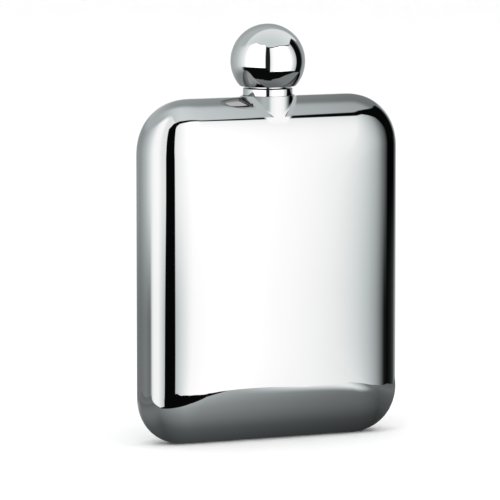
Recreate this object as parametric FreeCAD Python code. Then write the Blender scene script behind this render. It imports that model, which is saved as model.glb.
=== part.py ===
import FreeCAD, Part
import math
import os

# Hip flask with a screw-on ball cap, in mirror-polished stainless steel, modelled in millimetres.
#
# The body is two deep-drawn half shells, butt-welded round their edges, with a drawn boss at the top
# that takes a turned neck. The neck carries a collar and a coarse external thread. The cap is a hollow
# ball of two pressed shells round a turned bush with the matching internal thread, and a silicone disc
# in the bush seals on the neck's rim.
#
# Frame: +Z up and -Y to the front. The origin is the middle of the resting flat, on the seam plane y = 0.

# ---- driving dimensions -------------------------------------------------------------------------------
BODY_WIDTH = 94.2
BODY_HEIGHT = 115.4          # resting flat to the crest of the top edge
BODY_THICKNESS = 22.6        # at the middle of the crowned front and back
FACE_CROWN_RADIUS = 1600.0   # the front and back bulge very slightly across the width
EDGE_RADIUS = 10.0           # rounding of the front and back into the narrow sides
TOP_CORNER_RADIUS = 17.2
BASE_CORNER_RADIUS = 15.4
FOOT_PRESS_DEPTH = 0.35      # the rounded underside is pressed in by this to make the resting flat
WALL = 0.8

SEAM_WELD_WIDTH = 1.2        # fused metal between the two half shells
ROOT_BEAD_WIDTH = 1.8        # the weld's root on the inside of the body
ROOT_BEAD_HEIGHT = 0.3

COLLAR_RADIUS = 8.3
BOSS_RISE = 0.3              # the drawn boss ends this far above the crest
BOSS_FILLET = 1.7
COLLAR_HEIGHT = 2.45
COLLAR_CHAMFER = 0.25
SPIGOT_RADIUS = 7.0          # the part of the neck that sits in the boss
SPIGOT_DEPTH = 3.8
NECK_RADIUS = 6.4            # thread root
NECK_LENGTH = 8.6            # collar top to the drinking rim
NECK_BORE_RADIUS = 4.7
RIM_ROUND = 0.45
NECK_WELD_THROAT = 0.7

THREAD_PITCH = 2.5
THREAD_HEIGHT = 0.6
THREAD_ROOT_WIDTH = 1.5
THREAD_CREST_WIDTH = 0.8
THREAD_RADIAL_GAP = 0.15     # running gap between crest and root, on both threads
THREAD_BURIED = 0.12         # each ridge starts this far inside the wall that carries it
NECK_THREAD_START = 2.0      # above the collar, to the middle of the ridge
NECK_THREAD_TURNS = 2.1
BUSH_THREAD_TURNS = 1.6

BALL_RADIUS = 12.5
BALL_FLAT_BELOW_CENTRE = 8.3
BALL_GAP = 0.65              # open groove between the collar and the closed cap
BALL_EDGE_ROUND = 0.5
CAP_SEAM_WELD_WIDTH = 0.8
CAP_ROOT_BEAD = 0.25
BUSH_OUTER_RADIUS = 8.0
BUSH_TOP_THICKNESS = 1.0
BUSH_WELD_LEG = 0.7
SEAL_THICKNESS = 1.6
SEAL_RADIAL_GAP = 0.05
SEAL_EDGE_ROUND = 0.3

# ---- places that follow from them ---------------------------------------------------------------------
BOSS_TOP = BODY_HEIGHT + BOSS_RISE
COLLAR_TOP = BOSS_TOP + COLLAR_HEIGHT
NECK_RIM = COLLAR_TOP + NECK_LENGTH
BALL_FLAT = COLLAR_TOP + BALL_GAP
BALL_CENTRE = BALL_FLAT + BALL_FLAT_BELOW_CENTRE
BUSH_BORE_RADIUS = NECK_RADIUS + THREAD_HEIGHT + THREAD_RADIAL_GAP
SEAL_TOP = NECK_RIM + SEAL_THICKNESS
BUSH_TOP = SEAL_TOP + BUSH_TOP_THICKNESS
FAR = 60.0                   # larger than half the body's width
TALL = 200.0                 # larger than the closed flask's height

UP = FreeCAD.Vector(0, 0, 1)


# ---- helpers ------------------------------------------------------------------------------------------
def vector(x, y, z):
    return FreeCAD.Vector(x, y, z)


def cylinder(radius, low, high, x=0.0, y=0.0):
    return Part.makeCylinder(radius, high - low, vector(x, y, low), UP)


def block(x_low, x_high, y_low, y_high, z_low, z_high):
    return Part.makeBox(x_high - x_low, y_high - y_low, z_high - z_low, vector(x_low, y_low, z_low))


def layer(y_low, y_high):
    """All the space between two planes parallel to the seam."""
    return block(-FAR, FAR, y_low, y_high, -FAR, TALL)


def turned(points):
    """A solid turned round the Z axis from an outline of (radius, z) points."""
    wire = Part.makePolygon([vector(r, 0, z) for r, z in [*points, points[0]]])
    return Part.Face(wire).revolve(vector(0, 0, 0), UP, 360)


def as_solid(shape):
    """The single solid in a boolean's result, with its split faces joined again."""
    solids = shape.removeSplitter().Solids
    if len(solids) != 1:
        raise ValueError(f"expected one solid and got {len(solids)}")
    return solids[0]


def helical_ridge(root_radius, crest_radius, first_z, turns):
    """A trapezoid ridge on a right-hand helix. Its root is buried in the wall that carries it."""
    outward = 1.0 if crest_radius > root_radius else -1.0
    buried_radius = root_radius - outward * THREAD_BURIED
    slope = (THREAD_ROOT_WIDTH - THREAD_CREST_WIDTH) / 2 / abs(crest_radius - root_radius)
    half_buried = THREAD_ROOT_WIDTH / 2 + slope * THREAD_BURIED
    half_crest = THREAD_CREST_WIDTH / 2
    corners = [
        vector(buried_radius, 0, first_z - half_buried),
        vector(crest_radius, 0, first_z - half_crest),
        vector(crest_radius, 0, first_z + half_crest),
        vector(buried_radius, 0, first_z + half_buried),
    ]
    profile = Part.makePolygon([*corners, corners[0]])
    helix = Part.makeHelix(THREAD_PITCH, THREAD_PITCH * turns, root_radius)
    helix.translate(vector(0, 0, first_z))
    return Part.Wire(helix.Edges).makePipeShell([profile], True, True)


# ---- body ---------------------------------------------------------------------------------------------
def side_outline(inset):
    """The body seen from the front, as a face in the XZ plane: a rectangle with rounded corners."""
    half = BODY_WIDTH / 2 - inset
    low = inset - FOOT_PRESS_DEPTH
    high = BODY_HEIGHT - inset
    edges = []
    corners = (
        (half, high, TOP_CORNER_RADIUS - inset, 1, 1),
        (-half, high, TOP_CORNER_RADIUS - inset, -1, 1),
        (-half, low, BASE_CORNER_RADIUS - inset, -1, -1),
        (half, low, BASE_CORNER_RADIUS - inset, 1, -1),
    )
    ends = []
    for x, z, radius, sx, sz in corners:
        centre_x = x - sx * radius
        centre_z = z - sz * radius
        diagonal = radius / math.sqrt(2)
        on_side = vector(x, 0, centre_z)
        on_end = vector(centre_x, 0, z)
        middle = vector(centre_x + sx * diagonal, 0, centre_z + sz * diagonal)
        start, finish = (on_side, on_end) if sx * sz > 0 else (on_end, on_side)
        ends.append((start, finish))
        edges.append(Part.Arc(start, middle, finish).toShape())
    for (_, finish), (start, _) in zip(ends, ends[1:] + ends[:1]):
        edges.append(Part.makeLine(finish, start))
    return Part.Face(Part.Wire(Part.__sortEdges__(edges)))


def pillow(inset):
    """The body as a closed pillow, inset evenly from the outside. Inset 0 is the outer form."""
    prism = side_outline(inset).extrude(vector(0, 2 * FAR, 0))
    prism.translate(vector(0, -FAR, 0))
    offset = FACE_CROWN_RADIUS - BODY_THICKNESS / 2
    radius = FACE_CROWN_RADIUS - inset
    front = cylinder(radius, -FAR, TALL, y=offset)
    back = cylinder(radius, -FAR, TALL, y=-offset)
    plate = prism.common(front).common(back)
    rim = [e for e in plate.Edges if on_crown(e, offset, radius)]
    rounded = plate.makeFillet(EDGE_RADIUS - inset, rim)
    above_foot = block(-FAR, FAR, -FAR, FAR, inset, TALL)
    return as_solid(rounded.common(above_foot))


def on_crown(edge, offset, radius):
    """True for an edge that lies on the crowned front or back."""
    middle = edge.valueAt((edge.FirstParameter + edge.LastParameter) / 2)
    reach = math.hypot(middle.x, abs(middle.y) + offset)
    return abs(reach - radius) < 1e-3


def body_outside():
    """The outer form with the drawn boss, which flares smoothly into the top."""
    form = pillow(0)
    boss = cylinder(COLLAR_RADIUS, BODY_HEIGHT - EDGE_RADIUS, BOSS_TOP)
    joined = as_solid(form.fuse(boss))
    foot_of_boss = [
        e for e in joined.Edges
        if all(abs(math.hypot(p.x, p.y) - COLLAR_RADIUS) < 1e-3 for p in e.discretize(7))
        and min(p.z for p in e.discretize(7)) < BODY_HEIGHT + 1e-4
        and not is_vertical(e)
    ]
    return joined.makeFillet(BOSS_FILLET, foot_of_boss)


def is_vertical(edge):
    a, b = edge.Vertexes[0].Point, edge.Vertexes[-1].Point
    return math.hypot(a.x - b.x, a.y - b.y) < 1e-6 and abs(a.z - b.z) > 1e-6


def body_parts():
    outside = body_outside()
    inside = pillow(WALL)
    mouth = cylinder(SPIGOT_RADIUS, BODY_HEIGHT - FAR, TALL)
    skin = outside.cut(inside).cut(mouth)
    weld = SEAM_WELD_WIDTH / 2
    bead = ROOT_BEAD_WIDTH / 2
    front = skin.common(layer(-FAR, -weld))
    rear = skin.common(layer(weld, FAR))
    fused = skin.common(layer(-weld, weld))
    root = inside.cut(pillow(WALL + ROOT_BEAD_HEIGHT))
    root = root.common(layer(-bead, bead))
    clear_of_neck = cylinder(SPIGOT_RADIUS + NECK_WELD_THROAT, BODY_HEIGHT - FAR, TALL)
    return {
        "front_shell": as_solid(front),
        "rear_shell": as_solid(rear),
        "perimeter_weld": as_solid(fused.fuse(root.cut(clear_of_neck))),
    }


# ---- neck ---------------------------------------------------------------------------------------------
def neck_spout():
    """The turned neck: spigot, collar, threaded drinking spout and bore."""
    chamfer = COLLAR_CHAMFER
    core = turned([
        (NECK_BORE_RADIUS, BODY_HEIGHT - SPIGOT_DEPTH),
        (SPIGOT_RADIUS, BODY_HEIGHT - SPIGOT_DEPTH),
        (SPIGOT_RADIUS, BOSS_TOP),
        (COLLAR_RADIUS, BOSS_TOP),
        (COLLAR_RADIUS, COLLAR_TOP - chamfer),
        (COLLAR_RADIUS - chamfer, COLLAR_TOP),
        (NECK_RADIUS, COLLAR_TOP),
        (NECK_RADIUS, NECK_RIM),
        (NECK_BORE_RADIUS, NECK_RIM),
    ])
    rim = [
        e for e in core.Edges
        if abs(e.BoundBox.ZMin - NECK_RIM) < 1e-6 and abs(e.BoundBox.ZMax - NECK_RIM) < 1e-6
    ]
    core = core.makeFillet(RIM_ROUND, rim)
    ridge = helical_ridge(
        NECK_RADIUS, NECK_RADIUS + THREAD_HEIGHT, COLLAR_TOP + NECK_THREAD_START, NECK_THREAD_TURNS
    )
    return as_solid(core.fuse(ridge))


def neck_weld():
    """The bead that joins the neck's spigot to the body, on the inside."""
    ring = cylinder(SPIGOT_RADIUS + NECK_WELD_THROAT, BODY_HEIGHT - SPIGOT_DEPTH, BODY_HEIGHT)
    ring = ring.cut(cylinder(SPIGOT_RADIUS, BODY_HEIGHT - FAR, TALL))
    under_the_skin = pillow(WALL).cut(pillow(WALL + NECK_WELD_THROAT))
    return as_solid(ring.common(under_the_skin))


# ---- cap ----------------------------------------------------------------------------------------------
def sphere(radius):
    return Part.makeSphere(radius, vector(0, 0, BALL_CENTRE))


def ball_skin():
    """The whole ball as one hollow form, cut flat underneath and open for the bush."""
    whole = sphere(BALL_RADIUS).common(
        block(-FAR, FAR, -FAR, FAR, BALL_FLAT, BALL_CENTRE + FAR)
    )
    brink = [
        e for e in whole.Edges
        if abs(e.BoundBox.ZMin - BALL_FLAT) < 1e-6 and abs(e.BoundBox.ZMax - BALL_FLAT) < 1e-6
    ]
    whole = whole.makeFillet(BALL_EDGE_ROUND, brink)
    above_floor = block(-FAR, FAR, -FAR, FAR, BALL_FLAT + WALL, BALL_CENTRE + FAR)
    hollow = sphere(BALL_RADIUS - WALL).common(above_floor)
    opening = cylinder(BUSH_OUTER_RADIUS, BALL_FLAT - WALL, BALL_CENTRE)
    return whole.cut(hollow).cut(opening)


def cap_shells():
    skin = ball_skin()
    weld = CAP_SEAM_WELD_WIDTH / 2
    upper = skin.common(block(-FAR, FAR, -FAR, FAR, BALL_CENTRE + weld, BALL_CENTRE + FAR))
    lower = skin.common(block(-FAR, FAR, -FAR, FAR, BALL_FLAT - WALL, BALL_CENTRE - weld))
    fused = skin.common(block(-FAR, FAR, -FAR, FAR, BALL_CENTRE - weld, BALL_CENTRE + weld))
    inner = BALL_RADIUS - WALL
    root = cylinder(inner, BALL_CENTRE - weld, BALL_CENTRE + weld).common(sphere(inner))
    root = root.cut(cylinder(inner - CAP_ROOT_BEAD, BALL_CENTRE - FAR, BALL_CENTRE + FAR))
    return {
        "cap_upper_shell": as_solid(upper),
        "cap_lower_shell": as_solid(lower),
        "cap_seam_weld": as_solid(fused.fuse(root)),
    }


def cap_thread_bush():
    """The turned cup in the ball, with the internal thread. Its mouth is flush with the ball's flat."""
    cup = turned([
        (BUSH_BORE_RADIUS, BALL_FLAT),
        (BUSH_OUTER_RADIUS, BALL_FLAT),
        (BUSH_OUTER_RADIUS, BUSH_TOP),
        (0, BUSH_TOP),
        (0, SEAL_TOP),
        (BUSH_BORE_RADIUS, SEAL_TOP),
    ])
    # Half a pitch above the neck's ridge, so that each ridge runs in the other's groove.
    first_z = COLLAR_TOP + NECK_THREAD_START + THREAD_PITCH / 2
    ridge = helical_ridge(
        BUSH_BORE_RADIUS, BUSH_BORE_RADIUS - THREAD_HEIGHT, first_z, BUSH_THREAD_TURNS
    )
    return as_solid(cup.fuse(ridge))


def cap_bush_weld():
    """The fillet bead inside the ball, in the corner between the bush and the lower shell's floor."""
    floor = BALL_FLAT + WALL
    return turned([
        (BUSH_OUTER_RADIUS, floor),
        (BUSH_OUTER_RADIUS + BUSH_WELD_LEG, floor),
        (BUSH_OUTER_RADIUS, floor + BUSH_WELD_LEG),
    ])


def cap_seal():
    disc = cylinder(BUSH_BORE_RADIUS - SEAL_RADIAL_GAP, NECK_RIM, SEAL_TOP)
    brims = [e for e in disc.Edges if e.BoundBox.ZLength < 1e-6]
    return disc.makeFillet(SEAL_EDGE_ROUND, brims)


# ---- export -------------------------------------------------------------------------------------------
def main():
    parts = {
        **body_parts(),
        "neck_spout": neck_spout(),
        "neck_weld": neck_weld(),
        **cap_shells(),
        "cap_thread_bush": cap_thread_bush(),
        "cap_bush_weld": cap_bush_weld(),
        "cap_seal": cap_seal(),
    }
    os.makedirs("parts", exist_ok=True)
    for name, shape in parts.items():
        if not shape.isValid():
            raise ValueError(f"{name} is not a valid solid")
        shape.exportStep(f"parts/{name}.step")
        print(f"{name}: {len(shape.Faces)} faces, {shape.Volume / 1000:.2f} ml of metal or rubber")
    print(f"capacity to the inner crest: {pillow(WALL).Volume / 1000:.0f} ml")


main()
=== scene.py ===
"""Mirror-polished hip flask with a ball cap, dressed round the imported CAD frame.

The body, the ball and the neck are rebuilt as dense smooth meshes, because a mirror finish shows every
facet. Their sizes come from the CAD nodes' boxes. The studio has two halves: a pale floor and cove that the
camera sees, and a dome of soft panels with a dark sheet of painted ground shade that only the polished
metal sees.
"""

import math

import bmesh
import bpy
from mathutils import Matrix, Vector


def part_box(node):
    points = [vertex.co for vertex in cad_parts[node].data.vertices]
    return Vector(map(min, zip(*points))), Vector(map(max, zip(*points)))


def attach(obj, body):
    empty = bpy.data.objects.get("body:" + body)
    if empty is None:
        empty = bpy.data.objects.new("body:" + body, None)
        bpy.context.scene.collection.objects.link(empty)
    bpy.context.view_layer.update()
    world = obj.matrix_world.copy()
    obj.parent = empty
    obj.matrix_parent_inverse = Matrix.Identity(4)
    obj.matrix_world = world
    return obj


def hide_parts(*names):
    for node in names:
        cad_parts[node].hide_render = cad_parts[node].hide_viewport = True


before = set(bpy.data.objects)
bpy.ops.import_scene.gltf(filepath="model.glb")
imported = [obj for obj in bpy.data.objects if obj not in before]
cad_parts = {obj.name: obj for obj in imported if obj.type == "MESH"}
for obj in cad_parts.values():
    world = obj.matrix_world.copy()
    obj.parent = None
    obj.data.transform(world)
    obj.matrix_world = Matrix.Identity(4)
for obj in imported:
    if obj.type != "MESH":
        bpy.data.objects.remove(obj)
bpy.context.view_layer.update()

MM = 0.001


# ---- sizes read from the frame ------------------------------------------------------------------------
def far_corner(node):
    """The corner of a CAD node's box where x, y and z are largest."""
    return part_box(node)[1]


HALF_WIDTH = far_corner("front_shell").x
HALF_THICKNESS = far_corner("rear_shell").y
BOSS_TOP = far_corner("front_shell").z
NECK_RIM = far_corner("neck_spout").z
COLLAR_RADIUS = far_corner("neck_spout").x
BALL_RADIUS = far_corner("cap_upper_shell").x
BALL_CENTRE = far_corner("cap_upper_shell").z - BALL_RADIUS
BALL_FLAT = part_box("cap_lower_shell")[0].z
BUSH_RADIUS = far_corner("cap_thread_bush").x

# ---- sizes of the form between those ------------------------------------------------------------------
WALL = 0.8 * MM

BOSS_RISE = 0.3 * MM
CREST = BOSS_TOP - BOSS_RISE
FOOT_PRESS_DEPTH = 0.35 * MM
FOOT_EASE = 0.05 * MM
FOOT_ZONE = 2 * MM            # the press for the foot changes nothing above this height
TOP_CORNER = 16.4 * MM
BASE_CORNER = 14.6 * MM
CORNER_EASE = 4.0 * MM        # keeps the inner rings' corners from closing to a point
CORNER_POWER = 2.2            # a little squarer than a circle, so the bend starts gently
BEND = 2 * HALF_THICKNESS / math.pi
CROWN_STARTS = 9 * MM
CROWN_RULES = 30 * MM

BEND_STEP = 1.25              # degrees of slope between two rings round the side
BEND_RINGS = 66
ACROSS_RINGS = 24
ACROSS_SPREAD = 1.4           # the rings on the flat front get wider apart towards its middle
LAST_RING_DEPTH = 44 * MM
WELD_RINGS = 4                # rings between the seam plane and the weld's edge
CORNER_STEPS = 28
TOP_STEPS = 56
EDGE_STEPS = 26

BOSS_RADIUS = COLLAR_RADIUS + 0.2 * MM
SIDE_FILLET = 1.7 * MM        # the boss runs into the top edge on a small radius
FRONT_FILLET = 7.0 * MM       # and into the front and back on a larger one
BOSS_WALL_STEPS = 4
FILLET_STEPS = 20
BOSS_STEPS = 72               # round half the boss
BOSS_TAIL = 0.3 * MM          # the fillet runs on under the skin by this much
BOSS_TAIL_DROP = 0.02 * MM
HALVINGS = 40
MOUTH_RADIUS = COLLAR_RADIUS - 0.6 * MM
MOUTH_DEPTH = 12 * MM

COLLAR_HEIGHT = 2.45 * MM
COLLAR_ROUND = 0.3 * MM
SPIGOT_RADIUS = 7.0 * MM
SPIGOT_DEPTH = 3.8 * MM
STEM_RADIUS = 6.4 * MM
STEM_FILLET = 0.2 * MM
BORE_RADIUS = 4.7 * MM
RIM_ROUND = 0.6 * MM
THREAD_PITCH = 2.5 * MM
THREAD_HEIGHT = 0.6 * MM
THREAD_START = 2.0 * MM
THREAD_TURNS = 2.1
THREAD_FADE = math.pi / 3     # radians of turn over which the ridge rises from the stem
THREAD_STEPS = 96             # a turn
RIDGE_FLAT = 0.4 * MM         # half the width of the ridge's top
RIDGE_FOOT = 0.85 * MM        # half the width of its root
RIDGE_SINK = 0.1 * MM         # the root's edges lie this deep in the stem

BALL_INNER = BALL_RADIUS - WALL
BALL_EDGE_ROUND = 0.5 * MM
BALL_POLE = 89.9              # degrees; the shells stop short of a point here
BALL_WELD_HALF = 0.4 * MM
BALL_WELD_BEAD = 0.2 * MM
WELD_TURN_OUT = math.degrees(math.asin(BALL_WELD_HALF / BALL_RADIUS))
WELD_TURN_IN = math.degrees(math.asin(BALL_WELD_HALF / BALL_INNER))

ROUND_STEPS = 192


# ---- shader helpers -----------------------------------------------------------------------------------
class Nodes:
    """A short way to write a node tree."""

    def __init__(self, tree):
        self.tree = tree
        tree.nodes.clear()

    def add(self, kind, settings=None, **inputs):
        """inputs are named as the sockets are, with _ for a space, or i0, i1... for a socket's number."""
        node = self.tree.nodes.new(kind)
        for name, value in (settings or {}).items():
            setattr(node, name, value)
        for name, value in inputs.items():
            key = int(name[1:]) if name[0] == "i" and name[1:].isdigit() else name.replace("_", " ")
            if isinstance(value, bpy.types.NodeSocket):
                self.tree.links.new(value, node.inputs[key])
            else:
                node.inputs[key].default_value = value
        return node

    def math(self, operation, a, b=0.0):
        return self.add("ShaderNodeMath", {"operation": operation}, i0=a, i1=b).outputs[0]

    def product(self, first, *others):
        for other in others:
            first = self.math("MULTIPLY", first, other)
        return first

    def vector(self, operation, **inputs):
        return self.add("ShaderNodeVectorMath", {"operation": operation}, **inputs).outputs

    def step(self, value, low, high, bottom=0.0, top=1.0):
        """Runs smoothly from bottom to top as value goes from low to high, which may be the smaller one."""
        return self.add(
            "ShaderNodeMapRange", {"interpolation_type": "SMOOTHSTEP"},
            Value=value, From_Min=low, From_Max=high, To_Min=bottom, To_Max=top,
        ).outputs[0]

    def window(self, value, opens, full, fades, closed):
        """1 from full to fades, 0 before opens and after closed, and smooth between."""
        return self.product(self.step(value, opens, full), self.step(value, closed, fades))

    def mix(self, share, a, b):
        """a where share is 0 and b where it is 1."""
        return self.add("ShaderNodeMix", {"data_type": "FLOAT"}, i0=share, i2=a, i3=b).outputs[0]

    def curve(self, value, low, high, stops):
        """Straight lines through (place, height) stops, for a value that runs from low to high."""
        share = self.add("ShaderNodeMapRange", Value=value, From_Min=low, From_Max=high).outputs[0]
        top = max(height for _, height in stops)
        node = self.add("ShaderNodeValToRGB", Fac=share)
        band = node.color_ramp
        while len(band.elements) < len(stops):
            band.elements.new(1.0)
        for element, (place, height) in zip(band.elements, stops):
            element.position = (place - low) / (high - low)
            grey = height / top
            element.color = (grey, grey, grey, 1)
        return self.product(node.outputs["Color"], top)

    def curve_round(self, turn, stops):
        """A curve over the whole compass, in degrees."""
        return self.curve(turn, -180, 180, stops)

    def curve_mm(self, place, low, high, stops):
        """A curve over a place in metres, with its ends and stops in millimetres."""
        return self.curve(self.product(place, 1 / MM), low, high, stops)

    def colours(self, share, first, second):
        """The first colour where share is 0 and the second where it is 1."""
        return self.add(
            "ShaderNodeMix", {"data_type": "RGBA"}, i0=share, i6=(*first, 1), i7=(*second, 1),
        ).outputs[2]

    def place_on_object(self):
        return self.add("ShaderNodeTexCoord").outputs["Object"]

    def noise(self, place, scale, detail, roughness=0.5):
        return self.add(
            "ShaderNodeTexNoise", Vector=place, Scale=scale, Detail=detail, Roughness=roughness,
        ).outputs[0]

    def bump(self, height, distance, strength=1.0):
        return self.add("ShaderNodeBump", Strength=strength, Distance=distance, Height=height).outputs[0]

    def skin(self, **inputs):
        """Ends the material with a principled surface."""
        self.surface(self.add("ShaderNodeBsdfPrincipled", **inputs))

    def surface(self, shader):
        self.add("ShaderNodeOutputMaterial", Surface=shader.outputs[0])


def new_material(name):
    material = bpy.data.materials.new(name)
    material.use_nodes = True
    return material, Nodes(material.node_tree)


# ---- materials of the flask ---------------------------------------------------------------------------
def polished_steel(name, tint, roughness, haze, ripple):
    """Mirror-polished stainless steel: buffing haze, hairline scratches and a faint rolling ripple."""
    material, n = new_material(name)
    place = n.place_on_object()
    cloud = n.noise(place, 45.0, 4.0, 0.55)
    stretched = n.add("ShaderNodeMapping", Vector=place, Scale=(90.0, 90.0, 1400.0)).outputs[0]
    hairline = n.noise(stretched, 1.0, 3.0, 0.6)
    smear = n.product(n.step(cloud, 0.45, 0.75), haze)
    scratch = n.product(n.step(hairline, 0.58, 0.75), haze)
    n.skin(
        Base_Color=n.colours(smear, tint, (0.4, 0.4, 0.4)), Metallic=1.0,
        Roughness=n.math("ADD", n.math("ADD", smear, scratch), roughness),
        Normal=n.bump(n.noise(place, 70.0, 1.0, 0.4), ripple),
    )
    return material


def turned_steel(name, tint, roughness, groove_depth):
    """Steel finished on a lathe: fine rings round the Z axis, with a little colour change between them."""
    material, n = new_material(name)
    place = n.place_on_object()
    height = n.add("ShaderNodeSeparateXYZ", Vector=place).outputs[2]
    radius = n.vector("LENGTH", i0=n.vector("MULTIPLY", i0=place, i1=(1, 1, 0))[0])[1]
    ring = n.add(
        "ShaderNodeTexNoise", {"noise_dimensions": "1D"}, W=n.math("ADD", height, radius), Scale=6000.0,
        Detail=3.0,
    ).outputs[0]
    darker = [0.88 * level for level in tint]
    n.skin(
        Base_Color=n.colours(ring, tint, darker), Metallic=1.0,
        Roughness=n.step(ring, 0.3, 0.7, roughness * 0.7, roughness * 1.3),
        Normal=n.bump(ring, groove_depth),
    )
    return material


def weld_metal():
    """A fused bead: dull grey with straw-coloured heat stain and fine ripples."""
    material, n = new_material("weld_metal")
    place = n.place_on_object()
    blotch = n.noise(place, 900.0, 4.0)
    stain = n.step(blotch, 0.4, 0.65)
    n.skin(
        Base_Color=n.colours(stain, (0.36, 0.36, 0.36), (0.33, 0.27, 0.19)), Metallic=0.9,
        Roughness=n.step(blotch, 0.3, 0.7, 0.35, 0.55), Normal=n.bump(blotch, 0.05 * MM, 0.6),
    )
    return material


def silicone():
    """Milky food-grade silicone with a soft skin and a little dust-grey mottling."""
    material, n = new_material("silicone")
    place = n.place_on_object()
    mottle = n.noise(place, 600.0, 5.0)
    n.skin(
        Base_Color=n.colours(mottle, (0.82, 0.83, 0.84), (0.68, 0.69, 0.70)),
        Roughness=n.step(mottle, 0.3, 0.7, 0.4, 0.6), Normal=n.bump(mottle, 0.02 * MM, 0.4),
        Subsurface_Weight=0.25, Subsurface_Radius=(0.002, 0.002, 0.002),
    )
    return material


# ---- mesh helpers -------------------------------------------------------------------------------------
def new_piece(name, mesh, body, nodes, material, sharp=40.0):
    """A finished piece that rides on a body and stands for CAD nodes. Corners over sharp degrees stay."""
    piece = bpy.data.objects.new(name, mesh)
    bpy.context.scene.collection.objects.link(piece)
    mesh.materials.append(material)
    mesh.shade_smooth()
    mesh.set_sharp_from_angle(angle=math.radians(sharp))
    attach(piece, body)
    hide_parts(*nodes)
    return piece


def add_rings(form, rings):
    """Adds rings of points to the form, as rows of corners."""
    return [[form.verts.new(point) for point in ring] for ring in rings]


def add_quads(form, grid, close_rings=False):
    """Quads between closed rings of corners. close_rings also joins the last ring to the first."""
    pairs = list(zip(grid, grid[1:]))
    if close_rings:
        pairs.append((grid[-1], grid[0]))
    for lower, upper in pairs:
        count = len(lower)
        for i in range(count):
            j = (i + 1) % count
            form.faces.new((lower[i], lower[j], upper[j], upper[i]))


def to_mesh(name, form, face_out=True):
    mesh = bpy.data.meshes.new(name)
    if face_out:
        bmesh.ops.recalc_face_normals(form, faces=form.faces)
    form.to_mesh(mesh)
    form.free()
    return mesh


def circle_points(radius, z, steps=ROUND_STEPS):
    return [
        (radius * math.cos(2 * math.pi * i / steps), radius * math.sin(2 * math.pi * i / steps), z)
        for i in range(steps)
    ]


def turned_form(section):
    """A solid turned about the Z axis from a closed section of (r, z) points."""
    form = bmesh.new()
    add_quads(form, add_rings(form, [circle_points(r, z) for r, z in section]), close_rings=True)
    return form


def arc(centre_r, centre_z, radius, start, finish, steps):
    """Points (r, z) on an arc. Angles are in degrees above the outward horizontal."""
    points = []
    for i in range(steps + 1):
        angle = math.radians(start + (finish - start) * i / steps)
        points.append((centre_r + radius * math.cos(angle), centre_z + radius * math.sin(angle)))
    return points


# ---- body ---------------------------------------------------------------------------------------------
def corner_size(radius, depth):
    """The corner of the ring at this depth: it shrinks as an offset does, but eases off before zero."""
    left = radius - depth
    eased = (left + math.hypot(left, 2 * CORNER_EASE)) / 2
    return eased * (1 - 2 ** -0.5) / (1 - 2 ** (-1 / CORNER_POWER))


def corner_points(x, z, size, quarter):
    """One rounded corner, walked anticlockwise. Its sharp point would be at (x, z).

    Quarter 0 is at +X +Z, and the rest follow anticlockwise.
    """
    signs = ((1, 1), (-1, 1), (-1, -1), (1, -1))[quarter]
    points = []
    for i in range(CORNER_STEPS + 1):
        turn = math.pi / 2 * i / CORNER_STEPS
        if quarter % 2:
            turn = math.pi / 2 - turn
        across = size * (1 - math.cos(turn) ** (2 / CORNER_POWER))
        down = size * (1 - math.sin(turn) ** (2 / CORNER_POWER))
        points.append((x - signs[0] * across, z - signs[1] * down))
    return points


def outline(depth):
    """(x, z) points of the body's outline, this far in from the edge, anticlockwise from the right."""
    half = HALF_WIDTH - depth
    high = CREST - depth
    low = depth - FOOT_PRESS_DEPTH
    top = corner_size(TOP_CORNER, depth)
    base = corner_size(BASE_CORNER, depth)
    corners = [
        corner_points(half, high, top, 0),
        corner_points(-half, high, top, 1),
        corner_points(-half, low, base, 2),
        corner_points(half, low, base, 3),
    ]
    straights = (TOP_STEPS, EDGE_STEPS, EDGE_STEPS, EDGE_STEPS)
    points = []
    for i, steps in enumerate(straights):
        points += corners[i]
        start, finish = corners[i][-1], corners[(i + 1) % 4][0]
        for k in range(1, steps):
            share = k / steps
            points.append(tuple(a + (b - a) * share for a, b in zip(start, finish)))
    return points


def profile_depths():
    """Depths from the edge, evenly spaced in slope round the side and then wider across the flat front."""
    slopes = [math.radians(90 - BEND_STEP * i) for i in range(BEND_RINGS)]
    round_the_side = [-BEND * math.log(math.sin(slope)) for slope in slopes]
    last = round_the_side[-1]
    across = [
        last + (LAST_RING_DEPTH - last) * (i / ACROSS_RINGS) ** ACROSS_SPREAD
        for i in range(1, ACROSS_RINGS + 1)
    ]
    return round_the_side + across


def half_thickness(depth):
    """How far the skin is from the seam plane: a bend that opens out steadily until the front is flat."""
    return BEND * math.acos(math.exp(-depth / BEND))


def rest_on_foot(z):
    """Presses the rounded underside flat at z = 0."""
    return (z + math.hypot(z, 2 * FOOT_EASE)) / 2 if z < FOOT_ZONE else z


def crowned_thickness(x, z):
    """The same bend taken from all four sides at once, so the crown has no ridge where they meet."""
    edges = (HALF_WIDTH - x, HALF_WIDTH + x, CREST - z, z)
    return BEND * math.acos(min(sum(math.exp(-edge / BEND) for edge in edges), 1))


def body_ring(depth, side):
    """The skin at this depth from the edge. The crown takes over from the plain bend towards the middle."""
    share = min(max((depth - CROWN_STARTS) / (CROWN_RULES - CROWN_STARTS), 0), 1)
    share = share * share * (3 - 2 * share)
    plain = half_thickness(depth)
    ring = []
    for x, z in outline(depth):
        y = plain if share == 0 else plain + (crowned_thickness(x, z) - plain) * share
        ring.append((x, side * y, rest_on_foot(z)))
    return ring


def skin_height(y):
    """Height of the body's straight top edge above a point this far from the seam plane."""
    return CREST + BEND * math.log(max(math.cos(y / BEND), 1e-6))


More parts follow.
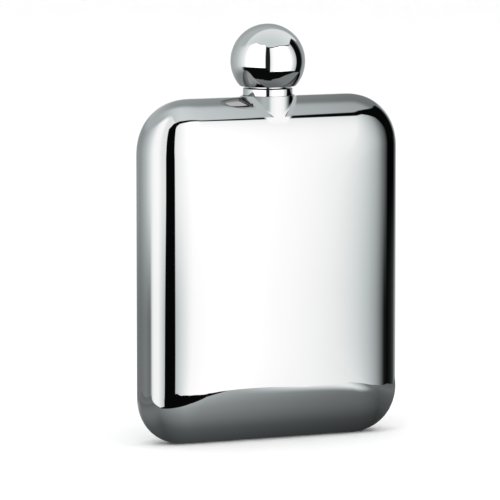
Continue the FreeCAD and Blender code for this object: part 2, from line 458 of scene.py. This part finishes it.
def boss_foot(y, fillet):
    """Where the fillet meets the skin: the distance from the neck's axis, and the skin's lean there.

    y is the sine of the place round the neck. The distance is found by halving.
    """
    near, far = BOSS_RADIUS, BOSS_RADIUS + fillet
    for _ in range(HALVINGS):
        foot = (near + far) / 2
        lean = math.atan(math.tan(abs(foot * y) / BEND) * abs(y))
        if abs(foot * y) < HALF_THICKNESS and foot + fillet * math.sin(lean) < BOSS_RADIUS + fillet:
            near = foot
        else:
            far = foot
    return foot, lean


def boss_points(turn):
    """The drawn boss at one place round the neck: down its wall and round a fillet into the skin."""
    x, y = math.cos(turn), math.sin(turn)
    fillet = SIDE_FILLET + (FRONT_FILLET - SIDE_FILLET) * y * y
    foot, lean = boss_foot(y, fillet)
    centre_r = BOSS_RADIUS + fillet
    centre_z = skin_height(foot * y) + fillet * math.cos(lean)
    start = math.asin(min(max((centre_z - BOSS_TOP) / fillet, 0), 1))
    finish = math.pi / 2 - lean
    wall_spread = centre_r - fillet * math.cos(start) - BOSS_RADIUS
    wall_drop = min(centre_z, BOSS_TOP) - BOSS_TOP
    section = [(SPIGOT_RADIUS, BOSS_TOP)]
    for i in range(BOSS_WALL_STEPS):
        share = i / BOSS_WALL_STEPS
        section.append((BOSS_RADIUS + wall_spread * share, BOSS_TOP + wall_drop * share))
    for i in range(FILLET_STEPS + 1):
        bend = start + (finish - start) * i / FILLET_STEPS
        section.append((centre_r - fillet * math.cos(bend), centre_z - fillet * math.sin(bend)))
    tail = foot + BOSS_TAIL * math.cos(lean)
    section.append((tail, skin_height(tail * y) - BOSS_TAIL_DROP))
    return [(r * x, r * y, z) for r, z in section]


def drop_mouth(form):
    """Opens the skin for the neck. The ragged rim stays inside the boss."""
    inside = []
    for face in form.faces:
        middle = face.calc_center_median()
        if math.hypot(middle.x, middle.y) < MOUTH_RADIUS and middle.z > CREST - MOUTH_DEPTH:
            inside.append(face)
    bmesh.ops.delete(form, geom=inside, context="FACES")


def add_boss(form, side):
    """Half of the drawn boss, as rows of quads from the neck down to the skin."""
    turns = [side * math.pi * (i / BOSS_STEPS) for i in range(BOSS_STEPS + 1)]
    rows = add_rings(form, [boss_points(turn) for turn in turns])
    for here, after in zip(rows, rows[1:]):
        for i in range(len(here) - 1):
            form.faces.new((here[i], after[i], after[i + 1], here[i + 1]))


def add_wall(piece):
    wall = piece.modifiers.new("wall", "SOLIDIFY")
    wall.thickness = WALL
    wall.offset = -1
    wall.use_even_offset = True


def body_half(name, side, nodes, material):
    """One drawn half of the body with its half of the boss, as a skin with a real wall."""
    form = bmesh.new()
    grid = add_rings(form, [body_ring(depth, side) for depth in profile_depths()[WELD_RINGS:]])
    add_quads(form, grid)
    form.faces.new(grid[-1])
    drop_mouth(form)
    add_boss(form, side)
    piece = new_piece(name, to_mesh(name, form), "flask", nodes, material, sharp=60.0)
    add_wall(piece)


def body_weld(material):
    """The polished weld round the edge, flush with the two halves."""
    depths = profile_depths()[:WELD_RINGS + 1]
    rings = [body_ring(depth, -1) for depth in reversed(depths)]
    rings += [body_ring(depth, 1) for depth in depths[1:]]
    form = bmesh.new()
    add_quads(form, add_rings(form, rings))
    drop_mouth(form)
    mesh = to_mesh("body_weld", form)
    piece = new_piece("body_weld", mesh, "flask", ["perimeter_weld"], material, sharp=60.0)
    add_wall(piece)


# ---- neck ---------------------------------------------------------------------------------------------
def neck(material):
    """Spigot, collar, threaded stem and bore, with the thread's helical ridge."""
    collar_top = BOSS_TOP + COLLAR_HEIGHT
    spigot_end = CREST - SPIGOT_DEPTH
    edge = COLLAR_ROUND
    under = COLLAR_ROUND / 2
    rim = RIM_ROUND
    section = [(BORE_RADIUS, spigot_end), (SPIGOT_RADIUS, spigot_end), (SPIGOT_RADIUS, BOSS_TOP)]
    section += arc(COLLAR_RADIUS - under, BOSS_TOP + under, under, -90, 0, 6)
    section += arc(COLLAR_RADIUS - edge, collar_top - edge, edge, 0, 90, 10)
    section += [(STEM_RADIUS + STEM_FILLET, collar_top)]
    section += arc(STEM_RADIUS + STEM_FILLET, collar_top + STEM_FILLET, STEM_FILLET, 270, 180, 5)
    section += arc(STEM_RADIUS - rim, NECK_RIM - rim, rim, 0, 90, 8)
    section += arc(BORE_RADIUS + rim, NECK_RIM - rim, rim, 90, 180, 8)
    form = turned_form(section)
    add_ridge(form, collar_top + THREAD_START)
    mesh = to_mesh("neck", form)
    new_piece("neck_with_collar", mesh, "flask", ["neck_spout"], material, sharp=35.0)


def ridge_section(turn, rise, z):
    """Points across the ridge at one turn: a flat top, flanks that ease out and a root in the stem."""
    right_half = (0.0, 0.2 * MM, RIDGE_FLAT, 0.55 * MM, 0.72 * MM, RIDGE_FOOT)
    points = []
    for across in [-place for place in reversed(right_half[1:])] + list(right_half):
        share = 1 - min(max((abs(across) - RIDGE_FLAT) / (RIDGE_FOOT - RIDGE_FLAT), 0), 1)
        sink = RIDGE_SINK if abs(across) == RIDGE_FOOT else 0
        radius = STEM_RADIUS + rise * share * share * (3 - 2 * share) - sink
        points.append((radius * math.cos(turn), radius * math.sin(turn), z + across))
    return points


def add_ridge(form, first_z):
    """A rounded helical ridge that fades into the stem at both ends."""
    steps = int(THREAD_TURNS * THREAD_STEPS)
    whole = 2 * math.pi * THREAD_TURNS
    rings = []
    for i in range(steps + 1):
        turn = whole * i / steps
        ends = [math.sin(math.pi / 2 * min(1, way / THREAD_FADE)) for way in (turn, whole - turn)]
        z = first_z + THREAD_PITCH * turn / (2 * math.pi)
        rings.append(ridge_section(turn, THREAD_HEIGHT * ends[0] * ends[1], z))
    grid = add_rings(form, rings)
    add_quads(form, grid)
    form.faces.new(grid[0])
    form.faces.new(grid[-1])


# ---- ball ---------------------------------------------------------------------------------------------
def ball_arc(radius, start, finish, steps):
    return arc(0, BALL_CENTRE, radius, start, finish, steps)


def ball_piece(name, section, node, material):
    new_piece(name, to_mesh(name, turned_form(section)), "ball_cap", [node], material)


def ball_upper(material):
    section = ball_arc(BALL_RADIUS, WELD_TURN_OUT, BALL_POLE, 72)
    section += ball_arc(BALL_INNER, BALL_POLE, WELD_TURN_IN, 36)
    ball_piece("ball_upper", section, "cap_upper_shell", material)


def ball_weld(material):
    """The weld between the halves, polished flush outside and with a small bead inside."""
    section = ball_arc(BALL_RADIUS, -WELD_TURN_OUT, WELD_TURN_OUT, 4)
    section += ball_arc(BALL_INNER - BALL_WELD_BEAD, WELD_TURN_IN, -WELD_TURN_IN, 4)
    ball_piece("ball_weld", section, "cap_seam_weld", material)


def ball_lower(material):
    """The lower half, with its rounded edge and the flat that carries the bush."""
    drop = BALL_CENTRE - BALL_FLAT
    edge = BALL_EDGE_ROUND
    edge_r = math.sqrt((BALL_RADIUS - edge) ** 2 - (drop - edge) ** 2)
    edge_turn = math.degrees(math.atan2(drop - edge, edge_r))
    floor_turn = math.degrees(math.asin((drop - WALL) / BALL_INNER))
    section = ball_arc(BALL_RADIUS, -WELD_TURN_OUT, -edge_turn, 36)
    section += arc(edge_r, BALL_FLAT + edge, edge, -edge_turn, -90, 8)[1:]
    section += [(BUSH_RADIUS, BALL_FLAT), (BUSH_RADIUS, BALL_FLAT + WALL)]
    section += ball_arc(BALL_INNER, -floor_turn, -WELD_TURN_IN, 24)
    ball_piece("ball_lower", section, "cap_lower_shell", material)


# ---- studio -------------------------------------------------------------------------------------------
CAMERA_AZIMUTH = -24.0        # degrees, from straight in front towards -X
CAMERA_ELEVATION = 6.9
CAMERA_DISTANCE = 1.46
LENS = 312.6
SENSOR = 36
AIM_LEFT = 5.95 * MM          # the flask stands a little right of the view's middle and below it
AIM_UP = 5.7 * MM

DOME_RADIUS = 1.2
# the sheet of painted ground shade lies this far below the foot
GROUND_SHADE_DROP = 0.5 * MM
FLOOR_RADIUS = 2.4
FLOOR_RINGS = 8
COVE_RADIUS = 1.5
COVE_TOP = 4.0
PIN_HOLE = 0.0001             # the floor's rings start from this instead of from a point

STEEL = 0.74                  # how much light the polished steel returns
SECOND_BOUNCE = 0.4           # how bright the room is when it is seen through a second reflection
BACKDROP_STRENGTH = 1.26
BLACK = 0.002
BALL_BLACK = 0.003
LAMPS = (                     # name, place, width and power
    ("key", (-0.7, -0.6, 1.3), 1.2, 5.0),
    ("fill", (0.9, -0.4, 1.2), 1.4, 3.0),
)


def stage_object(name, mesh, material, camera=False, diffuse=False, glossy=True):
    thing = bpy.data.objects.new(name, mesh)
    bpy.context.scene.collection.objects.link(thing)
    mesh.materials.append(material)
    mesh.shade_smooth()
    thing.visible_camera = camera
    thing.visible_diffuse = diffuse
    thing.visible_glossy = glossy
    thing.visible_transmission = False
    thing.visible_shadow = camera


def seen_direction(n):
    """Where a place in the room is from the ball, as the camera sees it.

    Gives how far it is to the right, towards the camera and up, in a length of 1, and the compass turn in
    degrees: 0 is towards the camera and 90 is to the right.
    """
    place = n.add("ShaderNodeNewGeometry").outputs["Position"]
    from_ball = n.vector("SUBTRACT", i0=place, i1=(0, 0, BALL_CENTRE))[0]
    way = n.vector("NORMALIZE", i0=from_ball)[0]
    turned = n.add(
        "ShaderNodeVectorRotate", {"rotation_type": "Z_AXIS"}, Vector=way,
        Angle=-math.radians(CAMERA_AZIMUTH),
    ).outputs[0]
    right, away, up = n.add("ShaderNodeSeparateXYZ", Vector=turned).outputs
    near = n.product(away, -1.0)
    return right, near, up, n.math("DEGREES", n.math("ARCTAN2", right, near))


def looking_point(n):
    """The point on the metal that sees this place: its x, distance from the neck's axis and height."""
    geometry = n.add("ShaderNodeNewGeometry")
    length = n.add("ShaderNodeLightPath").outputs["Ray Length"]
    back = n.vector("SCALE", i0=geometry.outputs["Incoming"], Scale=length)[0]
    point = n.vector("ADD", i0=geometry.outputs["Position"], i1=back)[0]
    x, y, height = n.add("ShaderNodeSeparateXYZ", Vector=point).outputs
    off_axis = n.math("SQRT", n.math("ADD", n.product(x, x), n.product(y, y)))
    return x, off_axis, height


def ball_room(n, right, near, up, turn):
    """Round the ball: two white panels with a dark gap, a pale tent, a black flag and a dark floor of
    painted shade.
    """
    side = n.curve_round(turn, (
        (-180, 0.34), (-140, 0.36), (-112, 0.48), (-93, 0.67), (-75, 0.88), (-62, 1.5), (-14, 1.5),
        (-7.4, 0.9), (-6.8, 0.01), (7.4, 0.015), (8.0, 0.80), (18, 0.98), (28, 1.5), (68, 1.5), (80, 0.9),
        (93, 0.6), (99, 0.45), (100, 0.003), (123, 0.003), (127, 0.02), (137, 0.3), (180, 0.34),
    ))
    low_left = n.product(n.step(up, -0.15, -0.45), n.step(turn, -80.0, -95.0))
    side = n.mix(low_left, side, 0.22)

    panel_top = n.curve_round(turn, (
        (-180, 0.20), (-130, 0.26), (-107, 0.386), (-57, 0.748), (-13, 0.793), (-8, 0.75), (3, 0.716),
        (49, 0.742), (94, 0.609), (114, 0.622), (130, 0.57), (139, 0.35), (180, 0.20),
    ))
    over_panels = n.math("SUBTRACT", up, panel_top)
    softness = n.step(turn, -90.0, -20.0, 0.16, 0.015)
    above = n.step(n.math("DIVIDE", over_panels, softness), 0.0, 1.0)
    crown = n.math("ADD", near, n.product(right, 0.5))
    tent_behind = n.step(near, -1.0, -0.5, 0.30, 0.43)
    tent_overhead = n.step(near, -0.5, 0.5, 0.72, 0.6)
    tent = n.mix(n.step(crown, -0.53, -0.43), tent_behind, tent_overhead)
    glow = n.mix(above, side, tent)

    line = n.product(
        n.window(over_panels, -0.035, -0.028, -0.002, 0.006), n.window(turn, 0.0, 8.0, 94.0, 96.0),
    )
    glow = n.product(glow, n.math("SUBTRACT", 1.0, line))

    panel_foot = n.curve_round(turn, (
        (-180, 0.2), (-79, 0.225), (-11, 0.292), (-6, 0.30), (8, 0.489), (46, 0.451), (98, 0.349),
        (180, 0.2),
    ))
    under_panels = n.step(n.math("ADD", up, panel_foot), 0.0, -0.015)
    glow = n.mix(n.product(under_panels, n.window(turn, -95.0, -80.0, 124.0, 134.0)), glow, BALL_BLACK)

    # below this edge the ball sees painted shade of the ground round the flask, darkest straight down
    floor_edge = n.curve_round(turn, (
        (-180, 0.60), (-59, 0.666), (-47, 0.755), (-33, 0.80), (0, 0.83), (14, 0.83), (48, 0.73),
        (68, 0.578), (95, 0.412), (119, 0.33), (180, 0.33),
    ))
    on_floor = n.step(n.math("ADD", up, floor_edge), 0.0, -0.015)
    return n.mix(on_floor, glow, n.step(up, -1.0, -0.74, 0.12, 0.19))


def body_sides(n, turn, off_axis, height):
    """The pale panels round the body.

    They are darker low down on the left, and grey on the left for the metal by the neck.
    """
    high = n.curve_round(turn, (
        (-180, 0.80), (-165, 0.60), (-146, 0.22), (-118, 0.24), (-92, 0.32), (-68, 0.47), (-50, 0.68),
        (-42, 0.82), (-34, 0.92), (-21, 0.95), (-11, 0.80), (-4, 0.76), (14, 0.78), (18, 0.84), (23, 0.89),
        (32, 1.02), (46, 1.06), (50, 0.92), (54, 0.80), (60, 0.66), (73, 0.42), (83, 0.19), (91, 0.07),
        (97, 0.001), (122, 0.001), (133, 0.06), (145, 0.40), (158, 0.86), (172, 0.92), (180, 0.80),
    ))
    low = n.curve_round(turn, (
        (-180, 0.80), (-165, 0.50), (-146, 0.13), (-100, 0.16), (-70, 0.19), (-50, 0.14), (-46, 0.35),
        (-42, 0.75), (-36, 0.88), (-22, 0.90), (-12, 0.67), (-5, 0.48), (13, 0.30), (15, 0.52), (23, 0.70),
        (32, 0.95), (46, 1.04), (50, 0.88), (54, 0.76), (60, 0.60), (73, 0.33), (81, 0.15), (88, 0.01),
        (97, 0.002), (110, 0.01), (125, 0.05), (145, 0.40), (158, 0.86), (172, 0.92), (180, 0.80),
    ))
    by_neck = n.product(n.step(off_axis, 14 * MM, 10 * MM), n.step(turn, 2.0, -4.0))
    return n.mix(by_neck, n.mix(n.step(height, 40 * MM, 90 * MM), low, high), 0.36)


def body_tent(n, near, along):
    """The grey tent over the body: lighter towards the camera and towards -X, and even at that end."""
    tent = n.curve(near, -1, 1, (
        (-1, 0.28), (-0.67, 0.27), (-0.3, 0.25), (-0.18, 0.28), (-0.1, 0.36), (-0.03, 0.46), (0.05, 0.52),
        (0.15, 0.55), (0.5, 0.57), (1, 0.6),
    ))
    shade = n.curve_mm(along, -50, 50, (
        (-50, 1.1), (-34, 1.1), (-26, 1.0), (-16, 0.93), (10, 0.78), (17, 0.75), (29, 0.66), (50, 0.6),
    ))
    return n.mix(n.step(along, -34 * MM, -42 * MM), n.product(tent, shade), 0.40)


def body_darks(n, up, turn):
    """The dark gap between two panels, and the dark line that runs on from it along their tops.

    The line goes to the right, where it widens into a black flag.
    """
    dark_top = n.curve_round(turn, (
        (-180, 0.50), (-3, 0.50), (8, 0.65), (21, 0.68), (40, 0.655), (50, 0.62), (52, 0.602), (54, 0.605),
        (57, 0.635), (66, 0.675), (80, 0.67), (97, 0.64), (120, 0.60), (180, 0.3),
    ))
    line_foot = n.curve_round(turn, (
        (-180, 0.40), (13, 0.40), (15, 0.54), (21, 0.60), (39, 0.605), (50, 0.585), (52, 0.56), (57, 0.545),
        (65, 0.56), (75, 0.50), (85, 0.42), (95, 0.20), (105, 0.0), (180, 0.0),
    ))
    gap_left = n.curve(up, -1, 1, (
        (-1, 0.0), (-0.26, 0.5), (-0.19, 2.7), (-0.14, 5.2), (0, 6.0), (1, 5.0),
    ))
    from_left = n.math("SUBTRACT", n.math("ADD", turn, 7.0), gap_left)
    gap = n.product(n.step(from_left, -0.5, 0.5), n.step(turn, 14.5, 13.5))
    over_foot = n.step(n.math("SUBTRACT", up, line_foot), -0.012, 0.012)
    line = n.product(over_foot, n.window(turn, 12.0, 14.0, 125.0, 135.0))
    under_top = n.step(n.math("SUBTRACT", up, dark_top), 0.012, -0.012)
    return n.product(n.math("MAXIMUM", gap, line), under_top)


def body_room(n, near, up, turn, along, off_axis, height):
    """Round the body: pale panels with a grey tent over them, the darks, and the boss's own part."""
    panel_top = n.curve_round(turn, (
        (-180, 0.30), (-110, 0.38), (-75, 0.55), (-60, 0.62), (-48, 0.74), (-30, 0.86), (-10, 0.88),
        (0, 0.84), (8, 0.72), (14, 0.65), (40, 0.63), (50, 0.60), (57, 0.59), (66, 0.62), (120, 0.60),
        (150, 0.32), (180, 0.30),
    ))
    softness = n.curve_round(turn, (
        (-180, 0.15), (-60, 0.10), (-10, 0.06), (8, 0.01), (110, 0.01), (130, 0.08), (180, 0.15),
    ))
    above = n.step(n.math("DIVIDE", n.math("SUBTRACT", up, panel_top), softness), -1.0, 1.0)
    glow = n.mix(above, body_sides(n, turn, off_axis, height), body_tent(n, near, along))
    glow = n.mix(body_darks(n, up, turn), glow, BLACK)
    on_boss = n.product(
        n.step(off_axis, 9.9 * MM, 9.2 * MM), n.step(height, CREST - 9 * MM, CREST - 8 * MM),
    )
    return n.mix(on_boss, glow, boss_room(n, up, turn, height))


def boss_room(n, up, turn, height):
    """Round the boss: grey on the left, white in front, dark on the right.

    A tent with a dark edge hangs above, which only the upper part of the metal sees.
    """
    side = n.curve_round(turn, (
        (-180, 0.35), (-60, 0.25), (-35, 0.35), (-17, 0.45), (1, 0.42), (9, 0.55), (17, 0.84), (38, 0.95),
        (60, 0.95), (79, 0.86), (91, 0.60), (105, 0.20), (115, 0.03), (128, 0.02), (140, 0.25), (180, 0.35),
    ))
    tent_foot = n.curve_round(turn, (
        (-180, 0.10), (0, 0.12), (30, 0.20), (40, 0.26), (46, 0.45), (53, 0.52), (60, 0.40), (70, 0.28),
        (90, 0.20), (180, 0.10),
    ))
    over = n.math("SUBTRACT", up, tent_foot)
    sees_tent = n.step(height, CREST - 6.7 * MM, CREST - 6.2 * MM)
    glow = n.mix(n.product(n.step(over, -0.02, 0.02), sees_tent), side, 0.48)
    edge = n.product(n.window(over, -0.07, -0.03, 0.01, 0.05), n.window(turn, 15.0, 30.0, 75.0, 85.0))
    return n.mix(n.product(edge, 0.8, sees_tent), glow, 0.02)


def ground_shade_glow(n):
    """Painted shadow of the flask on the sheet of ground shade: darkest at its foot, fading out to the edge
    of the patch.

    The dark gap between the panels runs on over the sheet beyond a slanting line, left of the middle.
    """
    place = n.add("ShaderNodeNewGeometry").outputs["Position"]
    x, y, _ = n.add("ShaderNodeSeparateXYZ", Vector=place).outputs
    out_front = n.math("SUBTRACT", n.math("ABSOLUTE", y), HALF_THICKNESS)
    out_side = n.math("SUBTRACT", n.math("ABSOLUTE", x), HALF_WIDTH)
    # painted shadow: darkest under the flask's foot, lighter further out
    patch = n.curve_mm(n.math("MAXIMUM", out_front, out_side), -12, 90, (
        (-12, 0.03), (-5, 0.06), (0, 0.085), (4, 0.12), (9, 0.16), (18, 0.21), (32, 0.27), (46, 0.36),
        (58, 0.46), (90, 0.5),
    ))
    # the painted shade is darker far out to each side, most towards +X
    across = n.curve_mm(x, -150, 150, (
        (-150, 0.25), (-90, 0.35), (-60, 0.8), (-30, 1.1), (30, 0.65), (60, 0.4), (150, 0.2),
    ))
    # the painted shade eases to a lighter grey on the right, further out from the front
    soft_right = n.product(
        n.step(out_front, 42 * MM, 60 * MM), n.window(x, 5 * MM, 40 * MM, 55 * MM, 82 * MM),
    )
    patch = n.mix(soft_right, n.product(patch, across), 0.8)
    slant = n.math("ADD", n.math("ADD", y, n.product(x, 0.538)), 69.5 * MM)
    gap = n.product(n.step(slant, 1 * MM, -1 * MM), n.window(x, -67 * MM, -64 * MM, 5 * MM, 9 * MM))
    return n.mix(gap, patch, BLACK)


def glowing(n, for_body, for_ball, height):
    """Sends out the glow that the steel is to show, which depends on whether the ball or the body asks.

    The greys are very slightly cool and the whites neutral. What the metal shows of itself, at the second
    bounce, is darker, because the flask shades its own surroundings.
    """
    glow = n.mix(n.math("GREATER_THAN", height, BOSS_TOP), for_body, for_ball)
    bounces = n.add("ShaderNodeLightPath").outputs["Glossy Depth"]
    bright = n.product(glow, n.step(bounces, 1.4, 1.6, 1 / STEEL, SECOND_BOUNCE / STEEL))
    red = n.product(bright, n.step(glow, 0.45, 0.95, 0.925, 1.0))
    blue = n.product(bright, n.step(glow, 0.45, 0.95, 1.01, 1.0))
    colour = n.add("ShaderNodeCombineXYZ", X=red, Y=bright, Z=blue).outputs[0]
    n.surface(n.add("ShaderNodeEmission", Color=colour, Strength=1.0))


def dome():
    """What the polished metal sees all round."""
    material, n = new_material("dome_light")
    right, near, up, turn = seen_direction(n)
    along, off_axis, height = looking_point(n)
    for_body = body_room(n, near, up, turn, along, off_axis, height)
    glowing(n, for_body, ball_room(n, right, near, up, turn), height)
    form = bmesh.new()
    bmesh.ops.create_uvsphere(form, u_segments=96, v_segments=48, radius=DOME_RADIUS)
    bmesh.ops.translate(form, verts=form.verts, vec=(0, 0, BALL_CENTRE))
    stage_object("dome", to_mesh("dome", form, face_out=False), material)


def ground_shade_sheet():
    """A sheet of painted shade, standing for the shaded ground round the flask, that the body sees. It
    reaches further out where the dark gap meets it.
    """
    material, n = new_material("ground_shade_sheet_light")
    glowing(n, ground_shade_glow(n), ball_room(n, *seen_direction(n)), looking_point(n)[2])
    outline_mm = (
        (150, 70), (-150, 70), (-150, -46), (-100, -38), (-67, -37), (-62, -46), (-62, -129), (-47, -129),
        (-25, -116), (-13, -93), (-5, -82), (1, -76), (10, -74), (24, -72), (36, -67), (50, -71), (66, -83),
        (110, -79), (150, -40),
    )
    form = bmesh.new()
    form.faces.new([form.verts.new((x * MM, y * MM, -GROUND_SHADE_DROP)) for x, y in outline_mm])
    # painted shade: a dark sheet for the shaded ground round the flask, which only the metal sees
    stage_object("ground_shade_sheet", to_mesh("ground_shade_sheet", form, face_out=False), material)


def floor():
    """A pale floor that sweeps up into a round cove, so every side has the same quiet background."""
    material, n = new_material("pale_floor")
    paper = n.noise(n.place_on_object(), 60.0, 4.0)
    shade = n.colours(paper, (0.93, 0.93, 0.93), (0.91, 0.91, 0.91))
    n.surface(n.add("ShaderNodeBsdfDiffuse", Color=shade))
    section = [(PIN_HOLE, 0)]
    section += [(FLOOR_RADIUS * i / FLOOR_RINGS, 0) for i in range(1, FLOOR_RINGS)]
    section += arc(FLOOR_RADIUS, COVE_RADIUS, COVE_RADIUS, -90, 0, 24)
    section += [(FLOOR_RADIUS + COVE_RADIUS, COVE_TOP)]
    form = bmesh.new()
    add_quads(form, add_rings(form, [circle_points(r, z, 96) for r, z in section]))
    stage_object("floor", to_mesh("floor", form), material, camera=True, diffuse=True, glossy=False)


def lights():
    world = bpy.data.worlds.new("studio")
    bpy.context.scene.world = world
    world.use_nodes = True
    n = Nodes(world.node_tree)
    background = n.add("ShaderNodeBackground", Color=(1, 1, 1, 1), Strength=BACKDROP_STRENGTH)
    n.add("ShaderNodeOutputWorld", Surface=background.outputs[0])
    for name, place, width, power in LAMPS:
        data = bpy.data.lights.new(name, "AREA")
        data.shape = "DISK"
        data.size = width
        data.energy = power
        lamp = bpy.data.objects.new(name, data)
        bpy.context.scene.collection.objects.link(lamp)
        lamp.location = place
        lamp.rotation_mode = "QUATERNION"
        lamp.rotation_quaternion = (-Vector(place)).to_track_quat("-Z", "Y")
        lamp.visible_glossy = False
        lamp.visible_camera = False


def camera():
    data = bpy.data.cameras.new("camera")
    data.lens = LENS
    data.sensor_width = SENSOR
    data.clip_start = 0.05
    data.clip_end = 20
    thing = bpy.data.objects.new("camera", data)
    bpy.context.scene.collection.objects.link(thing)
    turn, climb = math.radians(CAMERA_AZIMUTH), math.radians(CAMERA_ELEVATION)
    back = Vector((math.sin(turn) * math.cos(climb), -math.cos(turn) * math.cos(climb), math.sin(climb)))
    target = Vector((0, 0, CREST / 2))
    thing.location = target + back * CAMERA_DISTANCE
    look = (-back).to_track_quat("-Z", "Y")
    right = look @ Vector((1, 0, 0))
    up = look @ Vector((0, 1, 0))
    aim = target - right * AIM_LEFT + up * AIM_UP
    thing.rotation_mode = "QUATERNION"
    thing.rotation_quaternion = (aim - thing.location).to_track_quat("-Z", "Y")
    bpy.context.scene.camera = thing


# ---- build --------------------------------------------------------------------------------------------
def main():
    body_steel = polished_steel("body_steel", (STEEL, STEEL, STEEL), 0.012, 0.02, 0.0012 * MM)
    ball_steel = polished_steel("ball_steel", (STEEL, STEEL, STEEL), 0.01, 0.015, 0.0006 * MM)
    neck_steel = turned_steel("neck_steel", (STEEL, STEEL, STEEL), 0.05, 0.0004 * MM)
    bush_steel = turned_steel("bush_steel", (0.62, 0.62, 0.61), 0.28, 0.004 * MM)

    body_half("body_front", -1, ["front_shell"], body_steel)
    body_half("body_rear", 1, ["rear_shell"], body_steel)
    body_weld(body_steel)
    neck(neck_steel)
    ball_upper(ball_steel)
    ball_weld(ball_steel)
    ball_lower(ball_steel)

    kept_from_cad = {
        "neck_weld": weld_metal(),
        "cap_bush_weld": weld_metal(),
        "cap_thread_bush": bush_steel,
        "cap_seal": silicone(),
    }
    for node, material in kept_from_cad.items():
        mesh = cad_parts[node].data
        mesh.materials.clear()
        mesh.materials.append(material)

    dome()
    ground_shade_sheet()
    floor()
    lights()
    camera()
    bpy.context.scene.view_settings.view_transform = "Standard"


main()
